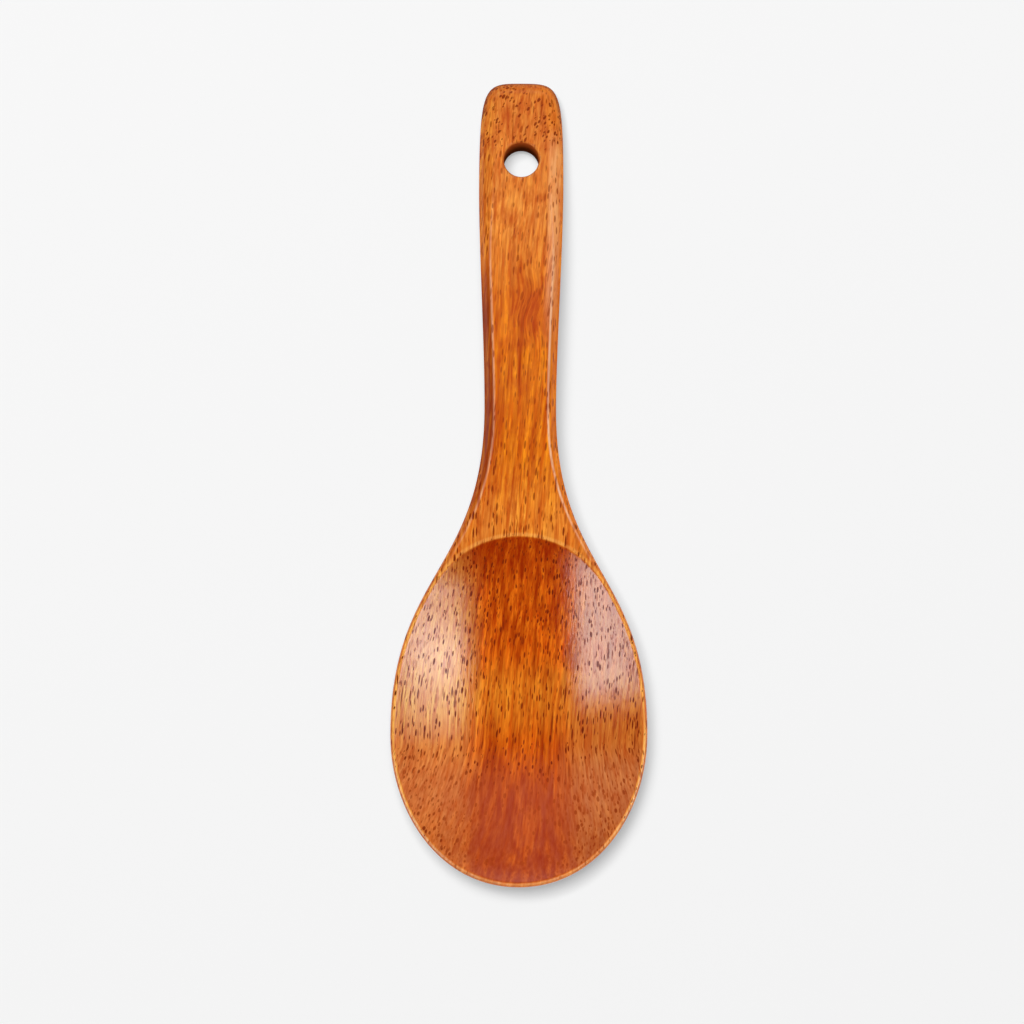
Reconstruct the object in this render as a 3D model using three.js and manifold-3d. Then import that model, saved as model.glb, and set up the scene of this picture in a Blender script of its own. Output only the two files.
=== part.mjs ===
// A wooden turner in the form of a broad spoon, carved from one board: an egg-shaped bowl with a
// shallow dish, a waisted neck with a flat crown, and a gently arched grip drilled for hanging.
// X is its width, Y its length with the grip at +Y, and Z is up from the table it lies on.
import * as THREE from "three";
import { mergeVertices } from "three/addons/utils/BufferGeometryUtils.js";
import Module from "manifold-3d";

// Plan, in millimetres. A size that ends in _AT is a distance along the turner from the bowl's tip.
const LENGTH = 230;
const BOWL_WIDTH = 73.4;
const BOWL_WIDEST_AT = 43.6;
const WAIST_WIDTH = 20.4;
const WAIST_AT = 136.7;
const GRIP_WIDTH = 24.1;
const GRIP_WIDEST_TO_END = 29.8;

// How full the curves of the plan are: the reach of each curve's handle as a share of its span.
const TIP_FULLNESS = 0.625;
const BOWL_FULLNESS = 0.5;
const NECK_FULLNESS = 0.5;
const GRIP_FULLNESS = 0.28;
const END_FULLNESS = 0.89;

// Side view: the crown runs over the rim, neck and grip, and the belly runs underneath. The grip
// arches up behind the neck and droops, by an angle in degrees, towards its end. A REACH is how far
// a curve keeps the direction that it has at the place it is named for.
const RIM_HEIGHT = 15;
const RIM_REACH = 62;
const ARCH_AT = 152;
const ARCH_HEIGHT = 19.2;
const ARCH_REACH = 36;
const END_HEIGHT = 9;
const END_DROOP = 11.5;
const END_REACH = 20;
const SOLE_AT = 46;
const SOLE_REACH = 34;
const SOLE_FLAT_DEPTH = 0.5;
const TIP_BACK_RUN = 10;
const TIP_BACK_HEIGHT = 4.5;
const ARCH_THICKNESS = 11;
const END_THICKNESS = 8.7;
const HEEL_ROUND = 3;

// The dish, which meets the crown of the neck in a crisp arc. The blend, in square millimetres,
// rounds the two corners where that arc runs into the rim.
const RIM_WIDTH = 1.2;
const DISH_DEPTH = 10.8;
const DISH_TOP_AT = 100.4;
const DISH_ARC_RADIUS = 28;
const DISH_CORNER_BLEND = 250;

// Edges between the crown and the sides: a thin round on the rim, a bevel on the neck and a full
// round on the grip. A fullness of 1 is a flat bevel and 2 is a round.
const RIM_EDGE = { width: 0.9, drop: 1.3, fullness: 2 };
const NECK_EDGE = { width: 2.4, drop: 2.6, fullness: 1.2 };
const GRIP_EDGE = { width: 4.6, drop: 3.8, fullness: 1.9 };
const NECK_EDGE_STARTS_AT = 85;
const NECK_EDGE_AT = 130;
const GRIP_EDGE_STARTS_TO_END = 54;
const GRIP_EDGE_TO_END = 18;

// Section of the back, as the powers of a superellipse across and down.
const BOWL_BACK = { across: 2.1, down: 1.25 };
const HANDLE_BACK = { across: 2.6, down: 2.4 };
const HANDLE_BACK_STARTS_AT = 70;
const HANDLE_BACK_AT = 130;

const HOLE_DIAMETER = 10;
const HOLE_TO_END = 22.3;

// How far each cutting tool runs past the wood.
const OVERRUN = 5;

// Facets of each curve of the plan, of a section's edge and back, of the dish and of the hole.
const PLAN_STEPS = 18;
const EDGE_STEPS = 4;
const BACK_STEPS = 9;
const DISH_ROWS = 46;
const DISH_COLUMNS = 24;
const HOLE_STEPS = 32;

const { lerp, smoothstep, degToRad } = THREE.MathUtils;
const wasm = await Module();
wasm.setup();

// The right half of the plan: x is the half width, y the distance from the tip.
function planLine() {
  const bowl = BOWL_WIDTH / 2;
  const waist = WAIST_WIDTH / 2;
  const grip = GRIP_WIDTH / 2;
  const gripAt = LENGTH - GRIP_WIDEST_TO_END;
  const bowlReach = BOWL_FULLNESS * BOWL_WIDEST_AT;
  const neckReach = NECK_FULLNESS * (WAIST_AT - BOWL_WIDEST_AT);
  const gripReach = GRIP_FULLNESS * (gripAt - WAIST_AT);
  const line = new THREE.Path().moveTo(0, 0);
  line.bezierCurveTo(TIP_FULLNESS * bowl, 0, bowl, BOWL_WIDEST_AT - bowlReach, bowl, BOWL_WIDEST_AT);
  line.bezierCurveTo(bowl, BOWL_WIDEST_AT + neckReach, waist, WAIST_AT - neckReach, waist, WAIST_AT);
  line.bezierCurveTo(waist, WAIST_AT + gripReach, grip, gripAt - gripReach, grip, gripAt);
  line.bezierCurveTo(grip, LENGTH, END_FULLNESS * grip, LENGTH, 0, LENGTH);
  return line;
}

// The top line in side view: x is the distance from the tip, y the height.
function crownLine() {
  const endRise = END_REACH * Math.tan(degToRad(END_DROOP));
  const upTo = ARCH_AT - ARCH_REACH;
  const downFrom = ARCH_AT + ARCH_REACH;
  const line = new THREE.Path().moveTo(0, RIM_HEIGHT);
  line.bezierCurveTo(RIM_REACH, RIM_HEIGHT, upTo, ARCH_HEIGHT, ARCH_AT, ARCH_HEIGHT);
  line.bezierCurveTo(downFrom, ARCH_HEIGHT, LENGTH - END_REACH, END_HEIGHT + endRise, LENGTH, END_HEIGHT);
  return line;
}

// The bottom line in side view, from the lip at the tip over the sole to the rounded heel of the grip.
function bellyLine() {
  const sole = -SOLE_FLAT_DEPTH;
  const arch = ARCH_HEIGHT - ARCH_THICKNESS;
  const heel = END_HEIGHT - END_THICKNESS;
  const heelAt = LENGTH - HEEL_ROUND;
  const droop = Math.tan(degToRad(END_DROOP));
  const upTo = ARCH_AT - ARCH_REACH;
  const downFrom = ARCH_AT + ARCH_REACH;
  const half = HEEL_ROUND / 2;
  const line = new THREE.Path().moveTo(0, RIM_HEIGHT - RIM_EDGE.drop);
  line.bezierCurveTo(TIP_BACK_RUN, TIP_BACK_HEIGHT, SOLE_AT / 2, sole, SOLE_AT, sole);
  line.bezierCurveTo(SOLE_AT + SOLE_REACH, sole, upTo, arch, ARCH_AT, arch);
  line.bezierCurveTo(downFrom, arch, heelAt - END_REACH, heel + END_REACH * droop, heelAt, heel);
  line.bezierCurveTo(heelAt + half, heel - half * droop, LENGTH, heel + half, LENGTH, heel + HEEL_ROUND);
  return line;
}

const plan = planLine();
const crown = crownLine();
const belly = bellyLine();

// The point and direction of a line where its coordinate on the named axis, which only grows, is value.
function pointAlong(line, axis, value) {
  const curve = line.curves.find((c) => c.v3[axis] >= value) ?? line.curves.at(-1);
  let low = 0;
  let high = 1;
  while (high - low > 1e-9) {
    const middle = (low + high) / 2;
    if (curve.getPoint(middle)[axis] < value) low = middle;
    else high = middle;
  }
  return { point: curve.getPoint(low), tangent: curve.getTangent(low) };
}

const heightOf = (line, at) => pointAlong(line, "x", at).point.y;

function crownSlope(at) {
  const { tangent } = pointAlong(crown, "x", at);
  return tangent.y / tangent.x;
}

function edgeAt(at) {
  const toNeck = smoothstep(at, NECK_EDGE_STARTS_AT, NECK_EDGE_AT);
  const toGrip = smoothstep(at, LENGTH - GRIP_EDGE_STARTS_TO_END, LENGTH - GRIP_EDGE_TO_END);
  const mix = (size) => lerp(lerp(RIM_EDGE[size], NECK_EDGE[size], toNeck), GRIP_EDGE[size], toGrip);
  return { width: mix("width"), drop: mix("drop"), fullness: mix("fullness") };
}

function backAt(at) {
  const toHandle = smoothstep(at, HANDLE_BACK_STARTS_AT, HANDLE_BACK_AT);
  return {
    across: lerp(BOWL_BACK.across, HANDLE_BACK.across, toHandle),
    down: lerp(BOWL_BACK.down, HANDLE_BACK.down, toHandle),
  };
}

// One closed section of the carved blank, before the dish and the hole are cut. The edge is eased
// by the distance from the plan's outline, and the section leans to stay square to the crown.
function blankSection({ point, tangent }) {
  const halfWidth = point.x;
  const at = point.y;
  const along = Math.max(Math.abs(tangent.y), 1e-6);
  const top = heightOf(crown, at);
  const lean = crownSlope(at);
  const edge = edgeAt(at);
  const back = backAt(at);
  const edgeHeight = top - edge.drop;
  const backDepth = edgeHeight - heightOf(belly, at);

  const eased = (distance) => {
    const inside = Math.max(1 - distance / edge.width, 0);
    return top - edge.drop * (1 - (1 - inside ** edge.fullness) ** (1 / edge.fullness));
  };
  const toCentre = Math.min(halfWidth * along, at, LENGTH - at);
  const half = [[0, eased(toCentre)]];
  for (let step = 0; step < EDGE_STEPS; step += 1) {
    const distance = Math.min(edge.width, toCentre) * (1 - Math.sin((step / EDGE_STEPS) * (Math.PI / 2)));
    half.push([halfWidth - distance / along, eased(distance)]);
  }
  for (let step = 0; step <= BACK_STEPS; step += 1) {
    const turn = (step / BACK_STEPS) * (Math.PI / 2);
    const across = step === BACK_STEPS ? 0 : Math.cos(turn) ** (2 / back.across);
    half.push([halfWidth * across, edgeHeight - backDepth * Math.sin(turn) ** (2 / back.down)]);
  }
  const left = half.map(([x, z]) => [-x, z]);
  const right = half.slice(1, -1).reverse();
  return [...left, ...right].map(([x, z]) => [x, at + (edgeHeight - z) * lean - LENGTH / 2, z]);
}

// The square of the dish's half width at a distance from the tip. It is the plan drawn in by the
// rim, and the arc at the neck, blended where they meet; past either end of the dish it is negative.
function dishSquare(at) {
  const { point, tangent } = pointAlong(plan, "y", at);
  const normal = point.x / Math.max(Math.abs(tangent.y), 1e-6);
  const drawnIn = point.x ** 2 - 2 * RIM_WIDTH * normal + RIM_WIDTH ** 2;
  const arc = 2 * DISH_ARC_RADIUS * (DISH_TOP_AT - at);
  const meeting = Math.max(1 - Math.abs(drawnIn - arc) / DISH_CORNER_BLEND, 0);
  return Math.min(drawnIn, arc) - (DISH_CORNER_BLEND * meeting ** 2) / 4;
}

// The solid that cuts the dish: its underside is the dish's floor, and it shuts to a line at both ends.
function dishCutter() {
  const reach = BOWL_WIDTH / 2 + RIM_WIDTH;
  const steepness = DISH_DEPTH / (BOWL_WIDTH / 2 - RIM_WIDTH) ** 2;
  const first = RIM_WIDTH / 3;
  const last = DISH_TOP_AT + OVERRUN;
  const across = Array.from({ length: DISH_COLUMNS + 1 }, (_, c) => reach * ((2 * c) / DISH_COLUMNS - 1));
  const rows = Array.from({ length: DISH_ROWS + 1 }, (_, r) => {
    const at = lerp(first, last, r / DISH_ROWS);
    const square = dishSquare(at);
    return across.map((x) => [x, at - LENGTH / 2, heightOf(crown, at) + steepness * (x * x - square)]);
  });
  const lid = Math.max(...rows.flat().map((p) => p[2])) + OVERRUN;
  const shut = (at) => across.map((x) => [x, at - LENGTH / 2, lid]);
  const closed = (row) => [...row, ...row.map(([x, y]) => [x, y, lid]).reverse()];
  return loft([shut(first - OVERRUN), ...rows, shut(last + OVERRUN)].map(closed));
}

// The hole is drilled square to the crown.
function hangingDrill() {
  const at = LENGTH - HOLE_TO_END;
  const radius = HOLE_DIAMETER / 2;
  const reach = 2 * (ARCH_THICKNESS + OVERRUN);
  const drill = new THREE.CylinderGeometry(radius, radius, reach, HOLE_STEPS);
  drill.rotateX(Math.PI / 2 + Math.atan(crownSlope(at)));
  drill.translate(0, at - LENGTH / 2, heightOf(crown, at));
  return drill;
}

// The sander that flattens the sole, with its face on the table plane.
function soleSander() {
  return new THREE.BoxGeometry(BOWL_WIDTH, LENGTH, OVERRUN).translate(0, 0, -OVERRUN / 2);
}

// A skin through closed rings of equally many points. Rings that shrink to a point or a line close it.
function loft(rings) {
  const count = rings[0].length;
  const index = [];
  for (let ring = 0; ring + 1 < rings.length; ring += 1) {
    for (let p = 0; p < count; p += 1) {
      const here = ring * count + p;
      const beside = ring * count + ((p + 1) % count);
      index.push(here, here + count, beside + count, here, beside + count, beside);
    }
  }
  const skin = new THREE.BufferGeometry();
  skin.setAttribute("position", new THREE.Float32BufferAttribute(rings.flat(2), 3));
  skin.setIndex(index);
  return skin;
}

function toSolid(geometry) {
  const bare = geometry.clone();
  bare.deleteAttribute("normal");
  bare.deleteAttribute("uv");
  const merged = mergeVertices(bare, 1e-4);
  const corners = merged.index.array;
  const triVerts = [];
  for (let i = 0; i < corners.length; i += 3) {
    const [a, b, c] = corners.slice(i, i + 3);
    if (a !== b && b !== c && c !== a) triVerts.push(a, b, c);
  }
  return new wasm.Manifold(
    new wasm.Mesh({
      numProp: 3,
      vertProperties: merged.attributes.position.array,
      triVerts: new Uint32Array(triVerts),
    }),
  );
}

function toGeometry(solid) {
  const mesh = solid.getMesh();
  const geometry = new THREE.BufferGeometry();
  geometry.setAttribute("position", new THREE.BufferAttribute(mesh.vertProperties, 3));
  geometry.setIndex(new THREE.BufferAttribute(mesh.triVerts, 1));
  geometry.computeVertexNormals();
  return geometry;
}

// Points and directions along the plan, evenly spread over each of its curves.
function planStations() {
  const lastCurve = plan.curves.length - 1;
  return Array.from({ length: PLAN_STEPS * plan.curves.length + 1 }, (_, station) => {
    const part = Math.min(Math.floor(station / PLAN_STEPS), lastCurve);
    const t = station / PLAN_STEPS - part;
    return { point: plan.curves[part].getPoint(t), tangent: plan.curves[part].getTangent(t) };
  });
}

function carvedTurner() {
  const blank = toSolid(loft(planStations().map(blankSection)));
  const carved = blank
    .subtract(toSolid(soleSander()))
    .subtract(toSolid(dishCutter()))
    .subtract(toSolid(hangingDrill()));
  const lacqueredWood = new THREE.MeshStandardMaterial({ color: 0xcf7124, roughness: 0.35, metalness: 0 });
  const mesh = new THREE.Mesh(toGeometry(carved), lacqueredWood);
  mesh.name = "carved_turner";
  return mesh;
}

const turner = new THREE.Group();
turner.add(carvedTurner());

export default turner;
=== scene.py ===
import math

import bpy
import numpy as np
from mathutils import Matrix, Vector


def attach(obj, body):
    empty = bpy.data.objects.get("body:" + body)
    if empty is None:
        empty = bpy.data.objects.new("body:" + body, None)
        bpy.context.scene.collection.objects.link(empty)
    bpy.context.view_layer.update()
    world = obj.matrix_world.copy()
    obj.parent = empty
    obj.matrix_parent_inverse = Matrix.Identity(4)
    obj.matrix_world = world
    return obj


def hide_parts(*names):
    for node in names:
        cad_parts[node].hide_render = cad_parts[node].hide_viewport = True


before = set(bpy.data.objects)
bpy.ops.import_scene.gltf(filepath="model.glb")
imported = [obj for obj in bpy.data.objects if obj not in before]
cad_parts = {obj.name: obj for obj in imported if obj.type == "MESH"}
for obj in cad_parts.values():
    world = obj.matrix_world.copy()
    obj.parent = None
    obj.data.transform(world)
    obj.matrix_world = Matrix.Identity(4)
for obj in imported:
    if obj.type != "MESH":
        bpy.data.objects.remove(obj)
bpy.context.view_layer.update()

# The carved turner. The real one is a single board of open-pored orange-brown wood. Its outline is
# sawn, its dish is hollowed with a round cutter, its edges are bevelled and rounded by hand, its hole
# is drilled, and the whole is sanded and sprayed with clear gloss lacquer.

# Sizes are in millimetres, and a size that ends in _AT is measured along the turner from its tip.
LENGTH = 230
BOWL = 73.4 / 2
BOWL_AT = 43.6
WAIST = 20.4 / 2
WAIST_AT = 136.7
GRIP = 24.1 / 2
GRIP_AT = LENGTH - 29.8
TIP_FULLNESS = 0.625
BOWL_FULLNESS = 0.5
NECK_FULLNESS = 0.5
GRIP_FULLNESS = 0.28
END_FULLNESS = 0.89

# The right half of the outline as joined curves, each by its start, two handles and end. A point is
# a half width and a station, and a curve's fullness is the share that a handle reaches.
bowl_reach = BOWL_FULLNESS * BOWL_AT
neck_reach = NECK_FULLNESS * (WAIST_AT - BOWL_AT)
grip_reach = GRIP_FULLNESS * (GRIP_AT - WAIST_AT)
plan = np.array(
    [
        [(0, 0), (TIP_FULLNESS * BOWL, 0), (BOWL, BOWL_AT - bowl_reach), (BOWL, BOWL_AT)],
        [(BOWL, BOWL_AT), (BOWL, BOWL_AT + neck_reach), (WAIST, WAIST_AT - neck_reach), (WAIST, WAIST_AT)],
        [(WAIST, WAIST_AT), (WAIST, WAIST_AT + grip_reach), (GRIP, GRIP_AT - grip_reach), (GRIP, GRIP_AT)],
        [(GRIP, GRIP_AT), (GRIP, LENGTH), (END_FULLNESS * GRIP, LENGTH), (0, LENGTH)],
    ]
)

# The side view: the crown over rim, neck and grip, and the belly underneath, as stations and heights.
RIM_HEIGHT = 15
RIM_REACH = 62
RIM_DROP = 1.3
ARCH_AT = 152
ARCH_HEIGHT = 19.2
ARCH_REACH = 36
ARCH_THICKNESS = 11
END_HEIGHT = 9
END_THICKNESS = 8.7
END_DROOP = math.tan(math.radians(11.5))
END_REACH = 20
TIP_BACK = (10, 4.5)
SOLE_AT = 46
SOLE_HEIGHT = -0.5
SOLE_REACH = 34
HEEL_ROUND = 3
lip_height = RIM_HEIGHT - RIM_DROP
neck_height = ARCH_HEIGHT - ARCH_THICKNESS
heel_height = END_HEIGHT - END_THICKNESS
heel_at = LENGTH - HEEL_ROUND
heel_half = HEEL_ROUND / 2
end_rise = END_REACH * END_DROOP
up_to = ARCH_AT - ARCH_REACH
down_from = ARCH_AT + ARCH_REACH
crown = np.array(
    [
        [(0, RIM_HEIGHT), (RIM_REACH, RIM_HEIGHT), (up_to, ARCH_HEIGHT), (ARCH_AT, ARCH_HEIGHT)],
        [
            (ARCH_AT, ARCH_HEIGHT),
            (down_from, ARCH_HEIGHT),
            (LENGTH - END_REACH, END_HEIGHT + end_rise),
            (LENGTH, END_HEIGHT),
        ],
    ]
)
belly = np.array(
    [
        [(0, lip_height), TIP_BACK, (SOLE_AT / 2, SOLE_HEIGHT), (SOLE_AT, SOLE_HEIGHT)],
        [
            (SOLE_AT, SOLE_HEIGHT),
            (SOLE_AT + SOLE_REACH, SOLE_HEIGHT),
            (up_to, neck_height),
            (ARCH_AT, neck_height),
        ],
        [
            (ARCH_AT, neck_height),
            (down_from, neck_height),
            (heel_at - END_REACH, heel_height + end_rise),
            (heel_at, heel_height),
        ],
        [
            (heel_at, heel_height),
            (heel_at + heel_half, heel_height - heel_half * END_DROOP),
            (LENGTH, heel_height + heel_half),
            (LENGTH, heel_height + HEEL_ROUND),
        ],
    ]
)


def along_curve(curve, shares):
    """Points and directions at the given shares of one cubic curve."""
    t = np.asarray(shares, float)[:, None]
    start, leave, arrive, end = curve
    near = (1 - t) ** 3 * start + 3 * (1 - t) ** 2 * t * leave
    far = 3 * (1 - t) * t**2 * arrive + t**3 * end
    direction = (1 - t) ** 2 * (leave - start) + 2 * (1 - t) * t * (arrive - leave) + t**2 * (end - arrive)
    return near + far, direction


def smoothstep(value, low, high):
    """Eases from 0 at low to 1 at high."""
    share = np.clip((value - low) / (high - low), 0, 1)
    return share * share * (3 - 2 * share)


# Stations lie close together where the dish ends in its arc on the neck. LEAST keeps a division off
# zero where the outline runs straight across or the side view straight up.
ARC_FROM_AT = 84
ARC_TO_AT = 103
TIP_ROWS = 90
BOWL_ROWS = 60
ARC_ROWS = 90
NECK_ROWS = 44
GRIP_ROWS = 80
END_ROWS = 110
CURVE_STEPS = 4000
LEAST = 1e-6
shares = np.linspace(0, 1, CURVE_STEPS + 1)
neck_stations = np.concatenate(
    [
        np.linspace(BOWL_AT, ARC_FROM_AT, BOWL_ROWS, endpoint=False),
        np.linspace(ARC_FROM_AT, ARC_TO_AT, ARC_ROWS, endpoint=False),
        np.linspace(ARC_TO_AT, WAIST_AT, NECK_ROWS, endpoint=False),
    ]
)
plan_shares = [
    np.linspace(0, 1, TIP_ROWS, endpoint=False),
    np.interp(neck_stations, along_curve(plan[1], shares)[0][:, 1], shares),
    np.linspace(0, 1, GRIP_ROWS, endpoint=False),
    np.linspace(0, 1, END_ROWS + 1),
]
plan_runs = [along_curve(curve, run) for curve, run in zip(plan, plan_shares)]
half_width, at = np.concatenate([points for points, _ in plan_runs]).T
across, onward = np.concatenate([directions for _, directions in plan_runs]).T
along = np.maximum(np.abs(onward) / np.hypot(across, onward), LEAST)


def side_view(curves, stations):
    """Heights and slopes of a side line at the given stations."""
    runs = [along_curve(curve, shares) for curve in curves]
    station, height = np.concatenate([points for points, _ in runs]).T
    run, rise = np.concatenate([directions for _, directions in runs]).T
    slope = rise / np.maximum(run, LEAST)
    return np.interp(stations, station, height), np.interp(stations, station, slope)


crown_height, crown_slope = side_view(crown, at)
belly_height, _ = side_view(belly, at)

# The edge's width, drop and fullness, from the thin round of the rim to the neck's bevel and the
# grip's round. A fullness of 1 is a straight bevel, and one of 2 is a quarter round.
RIM_EDGE = np.array([0.9, RIM_DROP, 2])
NECK_EDGE = np.array([2.4, 2.6, 1.2])
GRIP_EDGE = np.array([4.6, 3.8, 1.9])
NECK_EDGE_FROM_AT = 85
NECK_EDGE_AT = 130
GRIP_EDGE_FROM_AT = LENGTH - 54
GRIP_EDGE_AT = LENGTH - 18
to_neck = smoothstep(at, NECK_EDGE_FROM_AT, NECK_EDGE_AT)[:, None]
to_grip = smoothstep(at, GRIP_EDGE_FROM_AT, GRIP_EDGE_AT)[:, None]
edge = RIM_EDGE + (NECK_EDGE - RIM_EDGE) * to_neck
edge = edge + (GRIP_EDGE - edge) * to_grip

# The back's section is a superellipse, and these are its powers across and down.
BOWL_BACK = np.array([2.1, 1.25])
HANDLE_BACK = np.array([2.6, 2.4])
HANDLE_BACK_FROM_AT = 70
HANDLE_BACK_AT = 130
to_handle = smoothstep(at, HANDLE_BACK_FROM_AT, HANDLE_BACK_AT)[:, None]
back = BOWL_BACK + (HANDLE_BACK - BOWL_BACK) * to_handle

# The square of the dish's half width: the plan drawn in by the rim, and the arc at the neck, blended.
RIM_WIDTH = 1.2
DISH_DEPTH = 10.8
DISH_TOP_AT = 100.4
DISH_ARC_RADIUS = 28
DISH_CORNER_BLEND = 250
drawn_in = half_width**2 - 2 * RIM_WIDTH * half_width / along + RIM_WIDTH**2
arc = 2 * DISH_ARC_RADIUS * (DISH_TOP_AT - at)
meeting = np.maximum(1 - np.abs(drawn_in - arc) / DISH_CORNER_BLEND, 0)
dish_square = np.minimum(drawn_in, arc) - DISH_CORNER_BLEND * meeting**2 / 4

# The guide line carries what each section needs. It runs along the outline, one point for each station.
guide_mesh = bpy.data.meshes.new("turner_guide")
guide_points = [(float(x), float(y), 0.0) for x, y in zip(half_width, at)]
guide_mesh.from_pydata(guide_points, [(i, i + 1) for i in range(len(guide_points) - 1)], [])
guide_values = {
    "side": np.column_stack([crown_height, belly_height, crown_slope]),
    "edge": edge,
    "section": np.column_stack([back, dish_square]),
}
for name, values in guide_values.items():
    attribute = guide_mesh.attributes.new(name, "FLOAT_VECTOR", "POINT")
    attribute.data.foreach_set("vector", values.astype(np.float32).ravel())


def add(tree, kind, *values, **settings):
    """Adds a node, fills or links its open inputs in order, and gives back its first output."""
    node = tree.nodes.new(kind)
    for name, value in settings.items():
        setattr(node, name, value)
    for socket, value in zip([s for s in node.inputs if s.enabled], values):
        if isinstance(value, bpy.types.NodeSocket):
            tree.links.new(value, socket)
        elif value is not None:
            socket.default_value = value
    return next((s for s in node.outputs if s.enabled), None)


# The carving tree lofts the sections along the guide line, hollows the dish and drills the hole.
HOLE_AT = LENGTH - 22.3
HOLE_DIAMETER = 10.0
hole_height, hole_slope = (float(v[0]) for v in side_view(crown, [HOLE_AT]))
hole_foot = float(side_view(belly, [HOLE_AT])[0][0])
hole_tilt = math.atan(hole_slope)
carving_sizes = {
    "Length": float(LENGTH),
    "Dish steepness": DISH_DEPTH / (BOWL - RIM_WIDTH) ** 2,
    "Arris softness": 0.35,
    "Sole softness": 0.12,
    "Hole diameter": HOLE_DIAMETER,
    "Hole station": HOLE_AT,
    "Hole height": hole_height,
    "Hole tilt": hole_tilt,
    "Hole depth": (hole_height - hole_foot) * math.cos(hole_tilt),
    "Hole mouth": 0.4,
    "Columns on top": 48,
    "Columns on back": 24,
}
carving = bpy.data.node_groups.new("turner_carving", "GeometryNodeTree")
carving.interface.new_socket("Guide", in_out="INPUT", socket_type="NodeSocketGeometry")
carving.interface.new_socket("Turner", in_out="OUTPUT", socket_type="NodeSocketGeometry")
carving_inputs = {}
for name, value in {**carving_sizes, "Wood": None}.items():
    kind = {int: "NodeSocketInt", float: "NodeSocketFloat"}.get(type(value), "NodeSocketMaterial")
    carving_inputs[name] = carving.interface.new_socket(name, in_out="INPUT", socket_type=kind).identifier
size = carving.nodes.new("NodeGroupInput").outputs
guide = size["Guide"]

# One row of the grid is a station, and one column a place round the section. A column is counted from
# the middle of the top, the same on both sides.
half_ring = add(carving, "ShaderNodeMath", size["Columns on top"], size["Columns on back"], operation="ADD")
ring = add(carving, "ShaderNodeMath", half_ring, 2.0, operation="MULTIPLY")
ring_points = add(carving, "ShaderNodeMath", ring, 1.0, operation="ADD")
stations = add(carving, "GeometryNodeAttributeDomainSize", guide, component="MESH")
rows = add(carving, "ShaderNodeMath", stations, 1.0, operation="SUBTRACT")
grid = add(carving, "GeometryNodeMeshGrid", ring, rows, ring_points, stations)
grid_place = add(carving, "ShaderNodeSeparateXYZ", add(carving, "GeometryNodeInputPosition")).node.outputs
from_foot = add(carving, "ShaderNodeMath", grid_place["X"], operation="ABSOLUTE")
column = add(carving, "ShaderNodeMath", half_ring, from_foot, operation="SUBTRACT")
side = add(carving, "ShaderNodeMath", grid_place["X"], -1.0, operation="MULTIPLY")
side = add(carving, "ShaderNodeMath", side, operation="SIGN")
row = add(carving, "ShaderNodeMath", rows, 0.5, grid_place["Y"], operation="MULTIPLY_ADD")
row = add(carving, "ShaderNodeMath", row, operation="ROUND")

# Each row reads its section's values from the guide line.
guide_fields = {"place": add(carving, "GeometryNodeInputPosition")}
for name in guide_values:
    guide_fields[name] = add(carving, "GeometryNodeInputNamedAttribute", name, data_type="FLOAT_VECTOR")
on_guide = {}
for name, field in guide_fields.items():
    sampled = add(carving, "GeometryNodeSampleIndex", guide, field, row, data_type="FLOAT_VECTOR")
    on_guide[name] = add(carving, "ShaderNodeSeparateXYZ", sampled).node.outputs
station_x, station, _ = on_guide["place"]
crown_z, belly_z, crown_lean = on_guide["side"]
edge_width, edge_drop, edge_fullness = on_guide["edge"]
power_across, power_down, dish_half_square = on_guide["section"]
edge_z = add(carving, "ShaderNodeMath", crown_z, edge_drop, operation="SUBTRACT")

# On top, columns crowd towards the outline. The edge is eased by the distance from the outline.
CROWDING = 2.0
top_share = add(carving, "ShaderNodeMath", column, size["Columns on top"], operation="DIVIDE")
to_outline = add(carving, "ShaderNodeMath", 1.0, top_share, operation="SUBTRACT", use_clamp=True)
crowded = add(carving, "ShaderNodeMath", to_outline, CROWDING, operation="POWER")
top_share = add(carving, "ShaderNodeMath", 1.0, crowded, operation="SUBTRACT")
top_x = add(carving, "ShaderNodeMath", station_x, top_share, operation="MULTIPLY")
top_place = add(carving, "ShaderNodeCombineXYZ", top_x, station, 0.0)
outline = add(carving, "GeometryNodeProximity", guide, 0, top_place, 0, target_element="EDGES")
from_outline = outline.node.outputs["Distance"]
edge_share = add(carving, "ShaderNodeMath", from_outline, edge_width, operation="DIVIDE")
edge_share = add(carving, "ShaderNodeMath", 1.0, edge_share, operation="SUBTRACT", use_clamp=True)
edge_share = add(carving, "ShaderNodeMath", edge_share, edge_fullness, operation="POWER")
edge_share = add(carving, "ShaderNodeMath", 1.0, edge_share, operation="SUBTRACT", use_clamp=True)
edge_root = add(carving, "ShaderNodeMath", 1.0, edge_fullness, operation="DIVIDE")
edge_share = add(carving, "ShaderNodeMath", edge_share, edge_root, operation="POWER")
blank_z = add(carving, "ShaderNodeMath", edge_drop, edge_share, edge_z, operation="MULTIPLY_ADD")

# The dish is a hollow of even curve across. It meets the blank's top in a soft arris.
steepness = size["Dish steepness"]
top_x_square = add(carving, "ShaderNodeMath", top_x, top_x, operation="MULTIPLY")
above_dish = add(carving, "ShaderNodeMath", top_x_square, dish_half_square, operation="SUBTRACT")
dish_z = add(carving, "ShaderNodeMath", above_dish, steepness, crown_z, operation="MULTIPLY_ADD")
top_z = add(carving, "ShaderNodeMath", blank_z, dish_z, size["Arris softness"], operation="SMOOTH_MIN")

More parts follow.
